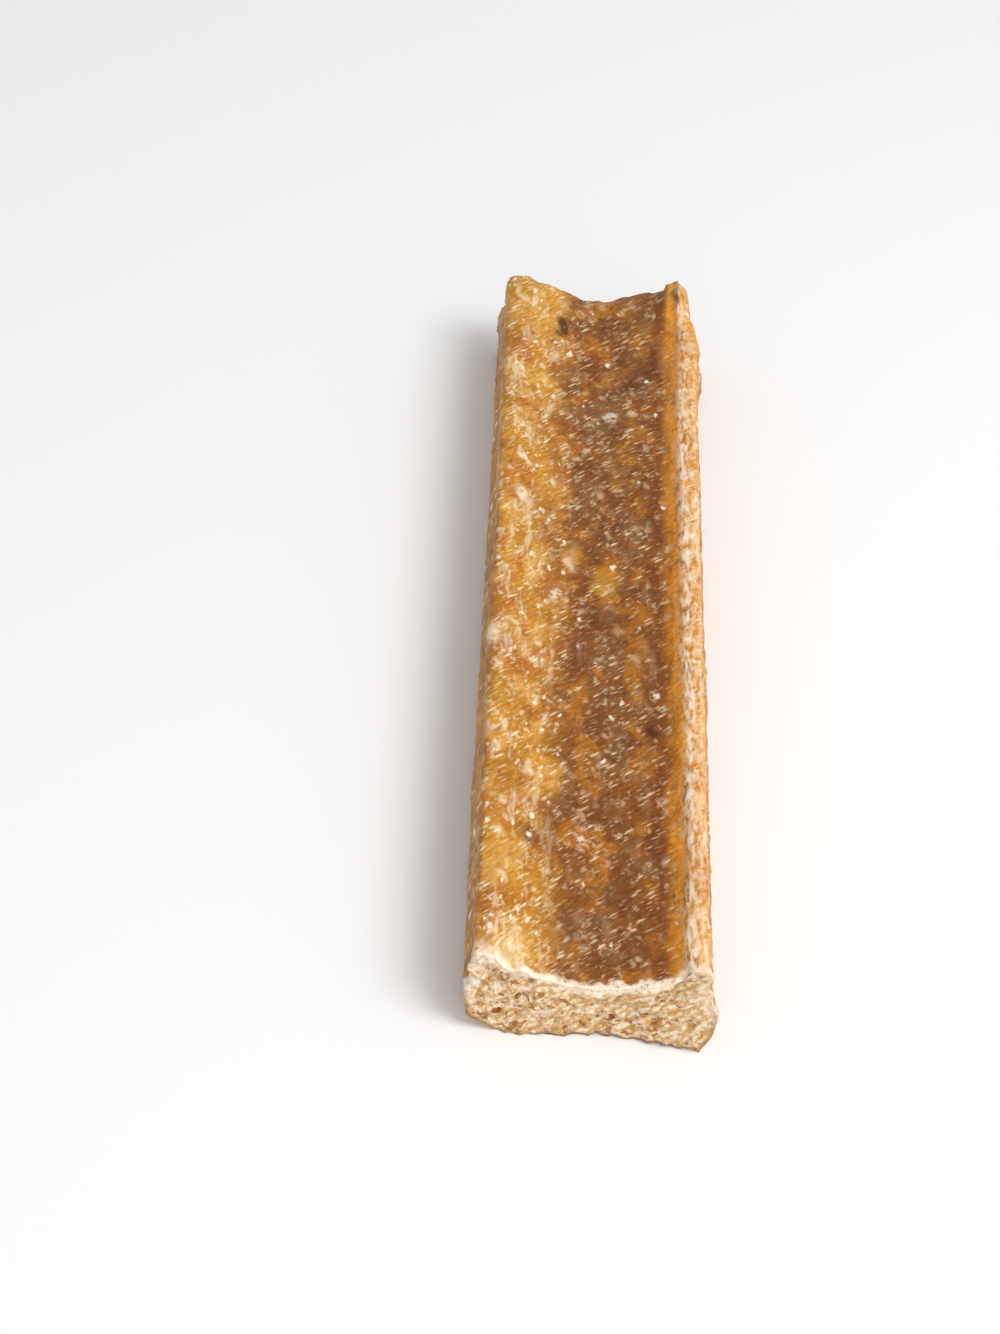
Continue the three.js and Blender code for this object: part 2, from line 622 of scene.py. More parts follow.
    def curd_grains(self, points: np.ndarray) -> np.ndarray:
        """How deep each point lies in a large curd grain, from 0 to 1."""
        return self.grains(GrainKind.CURD, 2.6 * MM, (0.3, 0.6), 0.55)(points)

    def relief(self, points: np.ndarray) -> np.ndarray:
        """How far the surface stands out from the plain bar: swells, furrows, curd grains and pits.

        Args:
            points: Places on the plain bar.

        Returns:
            Height at each place: the sum of slow noise, noise drawn out along the bar, two sizes of curd
            grain standing proud, and small pits sunk in, with larger knobs on the rims and sides, and
            more noise where a cut has torn the edge.
        """
        swell = 0.25 * MM * self.noise(NoiseField.SWELL)(points, (16 * MM, 24 * MM, 16 * MM))
        lump = 0.12 * MM * self.noise(NoiseField.LUMP)(points, (3 * MM, 4.5 * MM, 3 * MM))
        furrow = 0.07 * MM * self.noise(NoiseField.FURROW)(points, (1.5 * MM, 14 * MM, 1.5 * MM))
        fine = 0.05 * MM * self.noise(NoiseField.FINE).layered(points, 0.9 * MM, 2)
        ragged = 0.65 * MM * self.noise(NoiseField.RAGGED).layered(points, 2.4 * MM, 3)
        curd = 0.16 * MM * self.curd_grains(points)
        crumb = 0.1 * MM * self.grains(GrainKind.CRUMB, 1.3 * MM, (0.3, 0.6), 0.6)(points)
        pit = 0.18 * MM * self.grains(GrainKind.PIT, 2.1 * MM, (0.2, 0.42), 0.35)(points)
        knob = 0.3 * MM * self.grains(GrainKind.KNOB, 3.4 * MM, (0.35, 0.6), 0.5)(points)
        outer = smoothstep(np.abs(points[..., 0]), 0.8 * self.section.half_crest, self.section.half_crest)
        edge = smoothstep(self.end_distance(points), 2.5 * MM, 0.3 * MM)
        return swell + lump + furrow + curd + crumb - pit + fine + outer * knob + edge * ragged

    def weathered(self, grid: np.ndarray) -> np.ndarray:
        """The body with its relief: each point is moved along its normal.

        The underside lies on the table, so there the relief only sinks in, and by less. Near a cut the edge
        stands out in a frayed lip.

        Args:
            grid: The plain body.

        Returns:
            The body's points after the move.
        """
        normal = self.outward(grid)
        height = self.relief(grid)
        under = smoothstep(-normal[..., 2], 0.5, 0.95)
        at_cut = smoothstep(self.end_distance(grid), 1.6 * MM, 0.2 * MM)
        fray = np.clip(self.noise(NoiseField.FRAY).layered(grid, 1.1 * MM, 2), -0.4, 1)
        lip = at_cut * (0.2 + 0.5 * fray) * 0.6 * MM
        height = (height + lip * (1 - under)) * (1 - under) - under * 0.4 * np.abs(height)
        moved = grid + normal * height[..., None]
        moved[..., 2] = np.maximum(moved[..., 2], 0)
        return moved

    def cut_face(self, edge: np.ndarray, end: int) -> np.ndarray:
        """A cut face: rings from the edge to a short line inside, with a rough, holed surface.

        Point (u, k) lies a share k of the way from edge point u to its place on the line. Its Y is the cut's
        place, plus the edge's own offset from that, which fades inwards, plus lumps less holes, which grow
        inwards from the edge.

        Args:
            edge: The last ring of the body, one row for each outline point.
            end: 1 for the far end and -1 for the near one.

        Returns:
            X, Y and Z on a grid, outline points by rings. The last ring is the line.
        """
        places = self.section.spine_places() / self.section.underside_steps
        reach = 0.62 * self.section.half_crest
        level = 0.31 * self.section.height
        spine = np.stack([reach * (2 * places - 1), np.full_like(places, level)], axis=1)
        share = np.linspace(0, 1, self.cut_rings + 1)[1:] ** 0.85
        flat = edge[:, None, [0, 2]] + (spine - edge[:, [0, 2]])[:, None] * share[None, :, None]
        x, z = flat[..., 0], flat[..., 1]
        place = self.end_place(x, z, end)
        own = edge[:, 1] - self.end_place(edge[:, 0], edge[:, 2], end)
        solid = np.stack([x, np.full_like(x, end * self.half_length), z], axis=-1)
        distance = np.linalg.norm(flat - edge[:, None, [0, 2]], axis=-1)
        inner = smoothstep(distance, 0, 0.8 * MM)
        lumps = 0.28 * MM * self.noise(NoiseField.CUT_LUMP).layered(solid, 2.2 * MM, 3)
        crumbs = 0.3 * MM * self.grains(GrainKind.CUT_CRUMB, 1.7 * MM, (0.3, 0.6), 0.6)(solid)
        rough = inner * (lumps + crumbs - 0.75 * MM * self.holes(solid) - 0.15 * MM)
        fade = own[:, None] * (1 - share[None, :]) ** 2
        return np.stack([x, place + fade + end * rough, z], axis=-1)

    def holes(self, points: np.ndarray) -> np.ndarray:
        """Holes in the cut faces, in two sizes, bent out of round by noise.

        Args:
            points: Places on a cut face.

        Returns:
            How deep each point lies in a hole, from 0 outside to 1 at the deepest.
        """
        seed = self.seed + NoiseField.HOLE_BEND
        bend = np.stack([SmoothNoise(seed + i).layered(points, 1.5 * MM, 2) for i in range(3)], axis=-1)
        bent = points + 0.9 * MM * bend
        large = self.grains(GrainKind.LARGE_HOLE, 2.6 * MM, (0.2, 0.4), 0.4)(bent)
        small = self.grains(GrainKind.SMALL_HOLE, 1.2 * MM, (0.25, 0.45), 0.5)(bent)
        return np.maximum(large, 0.6 * small)

    def zones(
        self, points: np.ndarray, plain: np.ndarray, from_edge: np.ndarray, is_cut: float,
    ) -> dict[Zone, np.ndarray]:
        """The values that the finish reads, at each point.

        Args:
            points: Places on the finished surface.
            plain: The same places before the relief, which decide on which face a point lies.
            from_edge: How far each point lies from the edge between the pressed faces and the cut.
            is_cut: 1 on a cut face and 0 on a pressed one.

        Returns:
            An array from 0 to 1 for each zone.
        """
        half, height = self.section.half_crest, self.section.height
        up = plain[..., 2]
        x = plain[..., 0] + 1.3 * MM * self.noise(NoiseField.STRAY_ACROSS).layered(points, 7 * MM, 3)
        y = plain[..., 1] + 1.1 * MM * self.noise(NoiseField.STRAY_ALONG).layered(points, 2 * MM, 3)
        line = plain[..., 0] + 0.5 * MM * self.noise(NoiseField.LINE).layered(points, 9 * MM, 3)
        patch = 0.5 + 0.5 * self.noise(NoiseField.PATCH).layered(points, 4 * MM, 2)
        broad = 0.5 + 0.5 * self.noise(NoiseField.BROAD).layered(points, 11 * MM, 2)
        high = smoothstep(up, 0.52 * height, 0.6 * height)
        left_slope = smoothstep(x, -0.2 * half, -0.68 * half) * smoothstep(x, -1.12 * half, -0.98 * half)
        left_slope = left_slope * (0.65 + 0.5 * broad)
        left_side = smoothstep(x, -1.0 * half, -1.08 * half)
        right_side = smoothstep(x, 0.82 * half, 0.9 * half)
        # Paleness is partly the bar's own drier colour and partly painted light on the left slope and the
        # right side, which face the key lamp.
        pale = np.maximum.reduce([left_slope, 0.85 * right_side, 0.35 * left_side])
        # The white along the rims is partly wear and partly painted highlight on the rim tops.
        streaks = bell(line, 0.9 * half, 0.9 * MM) + 0.8 * broad * bell(line, 1.02 * half, 0.7 * MM)
        streaks = streaks * (1 - 0.5 * smoothstep(y, 40 * MM, 60 * MM))
        # Painted glow: light let through the thin right rim, as an orange band and up the right side.
        band = bell(line, 0.8 * half, 1.15 * MM) * (0.6 + 0.4 * broad)
        rim_side = 0.4 * right_side * smoothstep(up, 0.5 * height, 0.95 * height)
        values = {
            Zone.CURD: self.curd_grains(plain),
            Zone.PALE: pale * (0.75 + 0.25 * patch),
            Zone.SCUFF_AND_HIGHLIGHT: np.clip(streaks * high * (0.5 + 0.9 * patch), 0, 1),
            # Painted shade in the crease at the foot of the right rim.
            Zone.FOOT: bell(line, 0.65 * half, 1.2 * MM) * high,
            Zone.GLOW: np.maximum(band, rim_side) * high,
            Zone.CUT: np.full(x.shape, is_cut),
            Zone.LIP: np.maximum(
                self.lip(points, plain, from_edge) * (1 - 0.4 * right_side),
                self.worn_corner(plain) ** 2 * (0.15 + 0.7 * patch),
            ),
            Zone.PIT: self.holes(plain) * is_cut,
        }
        for zone in (Zone.STAIN, Zone.HONEY, Zone.FLAKE):
            spots = [spot.share(x, y) for spot in BLEMISHES if spot.zone is zone]
            values[zone] = np.maximum.reduce(spots) * high * (1 - is_cut)
        values[Zone.HONEY] = np.maximum(values[Zone.HONEY], 0.6 * left_side * patch * (1 - is_cut))
        return values

    def lip(self, points: np.ndarray, plain: np.ndarray, from_edge: np.ndarray) -> np.ndarray:
        """The white lip round the upper edge of a cut, of uneven width, and faint at the far end.

        Args:
            points: Places on the finished surface.
            plain: The same places before the relief.
            from_edge: How far each point lies from the edge between the pressed faces and the cut.

        Returns:
            Its strength at each point, from 0 to 1.
        """
        fringe = 0.95 * MM + 0.9 * MM * self.noise(NoiseField.FRINGE).layered(points, 1.8 * MM, 3)
        upper = smoothstep(plain[..., 2], 0.2 * self.section.height, 0.5 * self.section.height)
        near = smoothstep(plain[..., 1], 0.2 * self.half_length, -0.2 * self.half_length)
        return smoothstep(from_edge - fringe, 0.5 * MM, -0.3 * MM) * upper * (0.05 + 0.95 * near)

    def unrolled(self, plain: np.ndarray) -> np.ndarray:
        """The place of each point of the body on its unrolled surface.

        X is the arc length from the middle of the top, more to the right, and its two ends meet under the
        bar. Y runs along the bar, less a part of how far the top has sunk. Z is 0.

        Args:
            plain: The plain body.

        Returns:
            X, Y and Z of each place.
        """
        x, y, z = (plain[..., i] for i in range(3))
        section, way = self.section, self.section.way_round()
        turn = way[-1]
        middle = way[len(plain) - section.side_steps - section.underside_steps // 2]
        across = turn / 2 - (way[:-1] - middle + turn / 2) % turn
        is_top = (np.abs(x) < section.half_crest) & (z > section.height / 2)
        along = y - SLIDE * np.where(is_top, section.height - z, 0)
        return np.stack(np.broadcast_arrays(across[:, None], along, 0.0), axis=-1)

    def body_layout(self, plain: np.ndarray) -> np.ndarray:
        """The body in the flat layout: a strip up the left, with the arc length to the right and Y upwards.

        Args:
            plain: The plain body.

        Returns:
            Right and up, from 0 to 1, one row for each corner of the body's squares.
        """
        around, turn = len(plain), self.section.way_round()
        u, v = np.arange(around), np.arange(self.along_steps)[:, None]
        corners = [np.broadcast_arrays(u + i, v + j) for i, j in ((0, 0), (1, 0), (1, 1), (0, 1))]
        places = [np.stack([turn[i], plain[i % around, j, 1] + SHEET / 2], axis=-1) for i, j in corners]
        return np.stack(places, axis=-2).reshape(-1, 2) / SHEET

    def cut_layout(self, corners: np.ndarray) -> np.ndarray:
        """The cut faces in the flat layout: beside the strip, as seen from outside, the far one on top.

        Args:
            corners: X, Y and Z, one row for each corner of the cut faces.

        Returns:
            Right and up, from 0 to 1, one row for each corner.
        """
        end = np.sign(corners[:, 1])
        middle = self.section.way_round()[-1] + 0.6 * self.section.width
        foot = (1 + end) * 0.8 * self.section.height + 2 * MM
        return np.stack([middle - end * corners[:, 0], foot + corners[:, 2]], axis=-1) / SHEET

    def faces(self, around: int) -> tuple[np.ndarray, np.ndarray]:
        """The corner numbers of every face: the body's squares, then each cut's rings, closed on its line.

        Vertices are counted body first, then the near cut's rings, the near line, the far cut's rings and
        the far line. Squares that close on one point of a line are triangles.

        Args:
            around: Outline points.

        Returns:
            The squares and the triangles, one row of corner numbers each.
        """
        u = np.arange(around)
        after = (u + 1) % around
        v = np.arange(self.along_steps)[:, None]
        columns = self.along_steps + 1
        body = np.stack(np.broadcast_arrays(
            u * columns + v, after * columns + v, after * columns + v + 1, u * columns + v + 1,
        ), axis=-1).reshape(-1, 4)
        squares, triangles = [body], []
        places = self.section.spine_places()
        start = around * columns
        for edge_column in (0, self.along_steps):
            rings = [u * columns + edge_column]
            rings += [start + u * (self.cut_rings - 1) + k for k in range(self.cut_rings - 1)]
            line = start + around * (self.cut_rings - 1)
            turned = edge_column == 0
            for outer, inner in itertools.pairwise(rings):
                ring = np.stack([outer, inner, inner[after], outer[after]], axis=1)
                squares.append(ring if turned else ring[:, ::-1])
            last, ends = rings[-1], line + places
            closing = np.stack([last, ends, ends[after], last[after]], axis=1)
            shut = ends == ends[after]
            open_faces, shut_faces = closing[~shut], closing[shut][:, [0, 1, 3]]
            squares.append(open_faces if turned else open_faces[:, ::-1])
            triangles.append(shut_faces if turned else shut_faces[:, ::-1])
            start = line + self.section.underside_steps + 1
        return np.concatenate(squares), np.concatenate(triangles)

    def build(self) -> bpy.types.Object:
        """Makes the bar's mesh, stores its zones and puts it in the scene.

        Returns:
            The bar's object, at the origin.
        """
        plain = self.body()
        body = self.weathered(self.dried(plain))
        around = len(plain)
        _, first = np.unique(self.section.spine_places(), return_index=True)
        places, skins = [body.reshape(-1, 3)], [self.unrolled(plain).reshape(-1, 3)]
        zones = [self.zones(body, plain, self.end_distance(plain), 0.0)]
        for edge, end in ((body[:, 0], -1), (body[:, -1], 1)):
            cut = self.cut_face(edge, end)
            from_edge = np.linalg.norm((cut - edge[:, None])[..., [0, 2]], axis=-1)
            rings, line = cut[:, :-1], cut[first, -1]
            places += [rings.reshape(-1, 3), line]
            skins += [rings[..., [0, 2, 1]].reshape(-1, 3), line[:, [0, 2, 1]]]
            zones += [
                self.zones(rings, rings, from_edge[:, :-1], 1.0),
                self.zones(line, line, from_edge[first, -1], 1.0),
            ]
        points = np.concatenate(places)
        squares, triangles = self.faces(around)
        cut_corners = np.concatenate([squares[around * self.along_steps:].ravel(), triangles.ravel()])
        layout = np.concatenate([self.body_layout(plain), self.cut_layout(points[cut_corners])])
        mesh = mesh_from_arrays(self.node + "_surface", points, squares, triangles)
        mesh.uv_layers.new(name=LAYOUT).data.foreach_set("uv", layout.astype(np.float32).ravel())
        skin = np.concatenate(skins).astype(np.float32).ravel()
        mesh.attributes.new(SKIN, "FLOAT_VECTOR", "POINT").data.foreach_set("vector", skin)
        for zone in Zone:
            values = np.concatenate([part[zone].ravel() for part in zones]).astype(np.float32)
            mesh.attributes.new(zone.value, "FLOAT", "POINT").data.foreach_set("value", values)
        bar = bpy.data.objects.new("pressed_cheese_bar", mesh)
        bpy.context.scene.collection.objects.link(bar)
        return bar

    def dress(self, bar: bpy.types.Object) -> None:
        """Gives the bar its finish, and tells the frame what it stands for."""
        bar.data.materials.append(DriedCheese().material())
        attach(bar, "root")
        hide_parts(self.node)


def mesh_from_arrays(
    name: str, points: np.ndarray, squares: np.ndarray, triangles: np.ndarray,
) -> bpy.types.Mesh:
    """Makes a smooth-shaded mesh from arrays of places and corner numbers.

    Args:
        name: The mesh's name.
        points: X, Y and Z, one row for each vertex.
        squares: Four corner numbers, one row for each square.
        triangles: Three corner numbers, one row for each triangle.

    Returns:
        The mesh.
    """
    mesh = bpy.data.meshes.new(name)
    corners = np.concatenate([squares.ravel(), triangles.ravel()])
    counts = np.repeat([4, 3], [len(squares), len(triangles)])
    mesh.vertices.add(len(points))
    mesh.vertices.foreach_set("co", points.astype(np.float32).ravel())
    mesh.loops.add(len(corners))
    mesh.loops.foreach_set("vertex_index", corners.astype(np.int32))
    mesh.polygons.add(len(counts))
    mesh.polygons.foreach_set("loop_start", (np.cumsum(counts) - counts).astype(np.int32))
    mesh.polygons.foreach_set("use_smooth", np.ones(len(counts), bool))
    mesh.update(calc_edges=True)
    mesh.validate()
    return mesh


@dataclass(frozen=True)
class Tint:
    """A colour as it looks on a screen, from 0 to 255.

    Attributes:
        red: Red.
        green: Green.
        blue: Blue.
    """

    red: int
    green: int
    blue: int

    @property
    def linear(self) -> tuple[float, float, float, float]:
        """The colour as light, by the screen's own curve, with full alpha."""
        shares = [c / 255 for c in (self.red, self.green, self.blue)]
        light = [s / 12.92 if s <= 0.04045 else ((s + 0.055) / 1.055) ** 2.4 for s in shares]
        return (*light, 1.0)


Socket = bpy.types.NodeSocket


class Graph:
    """Adds nodes to one node tree and joins them."""

    def __init__(self, tree: bpy.types.NodeTree) -> None:
        """Starts on a tree.

        Args:
            tree: The tree that the nodes go into.
        """
        self.tree = tree

    def node(
        self, kind: str, inputs: dict[str | int, object] | None = None, **settings: object,
    ) -> bpy.types.Node:
        """Adds a node, sets it up, and joins or fills its inputs.

        Args:
            kind: The node's type.
            inputs: A socket to join or a value to set, by the input's name or number.
            settings: The node's own settings.

        Returns:
            The node.
        """
        node = self.tree.nodes.new(kind)
        for name, value in settings.items():
            setattr(node, name, value)
        for key, value in (inputs or {}).items():
            self.feed(node.inputs[key], value)
        return node

    def feed(self, target: Socket, value: object) -> None:
        """Joins a socket to the target, or sets the target's own value."""
        if isinstance(value, Socket):
            self.tree.links.new(value, target)
        elif isinstance(value, Tint):
            target.default_value = value.linear
        else:
            target.default_value = value

    def math(self, operation: str, *values: object) -> Socket:
        """One step of arithmetic on numbers."""
        return self.node("ShaderNodeMath", dict(enumerate(values)), operation=operation).outputs[0]

    def product(self, *values: object) -> Socket:
        """Two or more numbers multiplied."""
        return functools.reduce(functools.partial(self.math, "MULTIPLY"), values)

    def largest(self, *values: object) -> Socket:
        """The largest of two or more numbers."""
        return functools.reduce(functools.partial(self.math, "MAXIMUM"), values)

    def mix(self, share: object, first: object, second: object) -> Socket:
        """A blend of two colours: the first at share 0 and the second at share 1."""
        node = self.node("ShaderNodeMix", {0: share}, data_type="RGBA")
        self.feed(node.inputs[6], first)
        self.feed(node.inputs[7], second)
        return node.outputs[2]

    def blend(self, share: object, first: object, second: object) -> Socket:
        """A blend of two numbers: the first at share 0 and the second at share 1."""
        node = self.node("ShaderNodeMix", {0: share, 2: first, 3: second}, data_type="FLOAT")
        return node.outputs[0]

    def rise(self, value: object, low: object, high: object) -> Socket:
        """Rises smoothly from 0 at low to 1 at high."""
        inputs = {"Value": value, "From Min": low, "From Max": high}
        return self.node("ShaderNodeMapRange", inputs, interpolation_type="SMOOTHSTEP").outputs[0]

    def noise(self, place: Socket, scale: object, detail: float = 2.0, roughness: float = 0.5) -> Socket:
        """Blender's noise, about 0.5 in the middle, with scale in grains per unit of place."""
        inputs = {"Vector": place, "Scale": scale, "Detail": detail, "Roughness": roughness}
        return self.node("ShaderNodeTexNoise", inputs).outputs[0]

    def scaled(self, place: Socket, factor: object) -> Socket:
        """A place times a number."""
        node = self.node("ShaderNodeVectorMath", {0: place}, operation="SCALE")
        self.feed(node.inputs["Scale"], factor)
        return node.outputs[0]

    def added(self, place: Socket, offset: object) -> Socket:
        """A place plus another."""
        return self.node("ShaderNodeVectorMath", {0: place, 1: offset}, operation="ADD").outputs[0]

    def stretched(self, place: Socket, factors: tuple[float, float, float]) -> Socket:
        """A place times a number for each axis."""
        return self.node("ShaderNodeVectorMath", {0: place, 1: factors}, operation="MULTIPLY").outputs[0]

    def parts(self, place: Socket) -> tuple[Socket, Socket, Socket]:
        """X, Y and Z of a place."""
        outputs = self.node("ShaderNodeSeparateXYZ", {0: place}).outputs
        return outputs[0], outputs[1], outputs[2]

    def zone(self, zone: Zone) -> Socket:
        """The value that the bar's surface holds for a zone."""
        return self.node("ShaderNodeAttribute", attribute_name=zone.value).outputs["Fac"]


class Kind(Enum):
    """The kinds of socket that a shader group has."""

    NUMBER = "NodeSocketFloat"
    COLOUR = "NodeSocketColor"
    PLACE = "NodeSocketVector"


class ShaderGroup:
    """A shader node group with named inputs and outputs."""

    def __init__(self, name: str, inputs: dict[str, tuple[Kind, object]], outputs: dict[str, Kind]) -> None:
        """Makes the group's tree and sockets.

        Args:
            name: The group's name.
            inputs: Kind and usual value of each input. A place has no usual value.
            outputs: Kind of each output.
        """
        self.tree = bpy.data.node_groups.new(name, "ShaderNodeTree")
        for socket_name, (kind, value) in inputs.items():
            socket = self.tree.interface.new_socket(socket_name, in_out="INPUT", socket_type=kind.value)
            if value is not None:
                socket.default_value = value.linear if isinstance(value, Tint) else value
        for socket_name, kind in outputs.items():
            self.tree.interface.new_socket(socket_name, in_out="OUTPUT", socket_type=kind.value)
        self.graph = Graph(self.tree)
        self.inputs = self.tree.nodes.new("NodeGroupInput").outputs
        self.outputs = self.tree.nodes.new("NodeGroupOutput").inputs

    def put(self, name: str, value: Socket) -> None:
        """Joins a socket inside the group to one of its outputs."""
        self.tree.links.new(value, self.outputs[name])

    def use(self, graph: Graph, **inputs: object) -> bpy.types.Node:
        """Places the group in a graph. An input's name is written with _ for each space."""
        named = {key.replace("_", " "): value for key, value in inputs.items()}
        return graph.node("ShaderNodeGroup", named, node_tree=self.tree)


def curd_grain_group() -> ShaderGroup:
    """Soft-edged curd grains of one size, strewn through the cheese.

    Each cell of a Voronoi pattern holds one grain if its random colour is under Share. Noise bends the
    pattern's place, and more noise eats into each grain's edge, so no two have the same shape.

    Returns:
        The group: Mask is 1 inside a grain and 0 outside.
    """
    group = ShaderGroup(
        "curd_grains",
        {
            "Place": (Kind.PLACE, None),
            "Size": (Kind.NUMBER, 1.0),
            "Share": (Kind.NUMBER, 0.5),
            "Softness": (Kind.NUMBER, 0.2),
            "Bend": (Kind.NUMBER, 1.2),
        },
        {"Mask": Kind.NUMBER},
    )
    g, i = group.graph, group.inputs
    unit = g.scaled(i["Place"], g.math("DIVIDE", 1.0, i["Size"]))
    bend = g.node("ShaderNodeTexNoise", {"Vector": unit, "Scale": 1.3, "Detail": 2.0}).outputs["Color"]
    bent = g.added(unit, g.scaled(g.added(bend, (-0.5, -0.5, -0.5)), i["Bend"]))
    cells = g.node("ShaderNodeTexVoronoi", {"Vector": bent, "Scale": 1.0}, feature="F1")
    split = g.node("ShaderNodeSeparateColor", {0: cells.outputs["Color"]})
    radius = g.blend(split.outputs["Green"], 0.2, 0.5)
    bite = g.product(g.math("SUBTRACT", g.noise(unit, 2.6, 2.0), 0.5), 0.6)
    depth = g.math("ADD", g.math("SUBTRACT", radius, cells.outputs["Distance"]), bite)
    present = g.math("LESS_THAN", split.outputs["Red"], i["Share"])
    group.put("Mask", g.product(g.rise(depth, 0.0, i["Softness"]), present))
    return group


def brushed_place_group() -> ShaderGroup:
    """A place turned to the slant of the flecks and squeezed along it, so round grains there come out long.

    Returns:
        The group: Place.
    """
    group = ShaderGroup("brushed_place", {"Place": (Kind.PLACE, None)}, {"Place": Kind.PLACE})
    g, i = group.graph, group.inputs
    turned = g.node("ShaderNodeMapping", {"Vector": i["Place"], "Rotation": (0.0, 0.0, -FLECK_SLANT)})
    group.put("Place", g.stretched(turned.outputs[0], (0.25, 1.0, 1.0)))
    return group


def amber_body_group() -> ShaderGroup:
    """The half see-through mass between the grains: brown, with patches that run into each other.

    Noise of four sizes chooses between brown, grey-brown, amber and deep red-brown. Paleness moves the whole
    towards gold, rust and straw, in the same patches.

    Returns:
        The group: Color.
    """
    group = ShaderGroup(
        "amber_body",
        {
            "Place": (Kind.PLACE, None),
            "Paleness": (Kind.NUMBER, 0.0),
            "Deep": (Kind.COLOUR, Tint(96, 48, 14)),
            "Brown": (Kind.COLOUR, Tint(140, 82, 26)),
            "Grey": (Kind.COLOUR, Tint(136, 90, 46)),
            "Amber": (Kind.COLOUR, Tint(190, 120, 26)),
            "Rust": (Kind.COLOUR, Tint(190, 116, 28)),
            "Gold": (Kind.COLOUR, Tint(208, 148, 42)),
            "Straw": (Kind.COLOUR, Tint(228, 176, 92)),
        },
        {"Color": Kind.COLOUR},
    )
    g, i = group.graph, group.inputs
    bend = g.node("ShaderNodeTexNoise", {"Vector": i["Place"], "Scale": 0.35, "Detail": 1.0}).outputs["Color"]
    bent = g.added(i["Place"], g.scaled(g.added(bend, (-0.5, -0.5, -0.5)), 3.0))
    broad = g.noise(bent, 0.13, 2.0, 0.5)
    patch = g.noise(g.added(bent, (31.0, 7.0, 0.0)), 0.26, 1.0, 0.5)
    dots = g.noise(g.added(i["Place"], (3.0, 57.0, 0.0)), 0.9, 3.0, 0.6)
    fine = g.noise(g.added(i["Place"], (43.0, 17.0, 0.0)), 2.2, 3.0, 0.6)
    ground = g.mix(g.rise(broad, 0.5, 0.64), i["Brown"], i["Grey"])
    amber = g.product(g.rise(patch, 0.5, 0.62), g.rise(broad, 0.62, 0.5), 0.6)
    ground = g.mix(amber, ground, i["Amber"])
    ground = g.mix(g.product(g.rise(patch, 0.46, 0.34), 0.35), ground, i["Deep"])
    # Deep red-brown dots and specks: partly the mass's own tone, partly painted shadow of small cracks,
    # strewn by noise.
    ground = g.mix(g.product(g.rise(dots, 0.48, 0.32), 0.5), ground, i["Deep"])
    ground = g.mix(g.product(g.rise(fine, 0.5, 0.3), 0.25), ground, i["Deep"])
    light = g.mix(g.rise(broad, 0.42, 0.6), i["Gold"], i["Rust"])
    light = g.mix(g.product(g.rise(patch, 0.5, 0.66), 0.7), light, i["Straw"])
    light = g.mix(g.product(g.rise(dots, 0.46, 0.32), 0.45), light, i["Rust"])
    group.put("Color", g.mix(i["Paleness"], ground, light))
    return group


def crumbly_cut_group() -> ShaderGroup:
    """A cut face of the cheese: pale crumbs, drawn out by Streak, with orange-brown hollows between them.

    Returns:
        The group: Color, and Height for the fine crumbs.
    """
    group = ShaderGroup(
        "crumbly_cut",
        {
            "Place": (Kind.PLACE, None),
            "Pit": (Kind.NUMBER, 0.0),
            "Streak": (Kind.NUMBER, 0.5),
            "Crumb": (Kind.COLOUR, Tint(244, 226, 196)),
            "Paste": (Kind.COLOUR, Tint(200, 154, 94)),
            "Hollow": (Kind.COLOUR, Tint(146, 82, 24)),
        },
        {"Color": Kind.COLOUR, "Height": Kind.NUMBER},
    )
    g, i = group.graph, group.inputs
    crumbs = g.blend(0.5, g.noise(i["Place"], 1.5, 4.0, 0.65), i["Streak"])
    spots = g.noise(g.added(i["Place"], (11.0, 5.0, 9.0)), 0.75, 4.0, 0.6)
    paste = g.mix(g.rise(crumbs, 0.42, 0.62), i["Paste"], i["Crumb"])
    hollow = g.largest(g.rise(i["Pit"], 0.05, 0.6), g.product(g.rise(spots, 0.54, 0.64), 0.8))
    group.put("Color", g.mix(hollow, paste, i["Hollow"]))
    group.put("Height", g.math("SUBTRACT", crumbs, g.product(hollow, 0.5)))
    return group


@dataclass(frozen=True)
class Places:
    """The places that the finish's patterns are laid on, in millimetres.

    Attributes:
        plain: The place on the object.
        curdled: The same, closer together along the bar, and slid along where the top has sunk.
        banded: The curdled place, closer still along the bar, for patterns drawn out that way.
        brushed: The place on the unrolled surface, for patterns drawn out along the slant of the flecks.
    """

    plain: Socket
    curdled: Socket
    banded: Socket
    brushed: Socket


@dataclass(frozen=True)
class Curds:
    """Where the grains show.

    Attributes:
        large: Large grains and bands of grain.
        middle: Grains about 1 mm across.
        small: Flecks and dashes.
        bright: The whitest grains, and painted glints.
    """

    large: Socket
    middle: Socket
    small: Socket
    bright: Socket


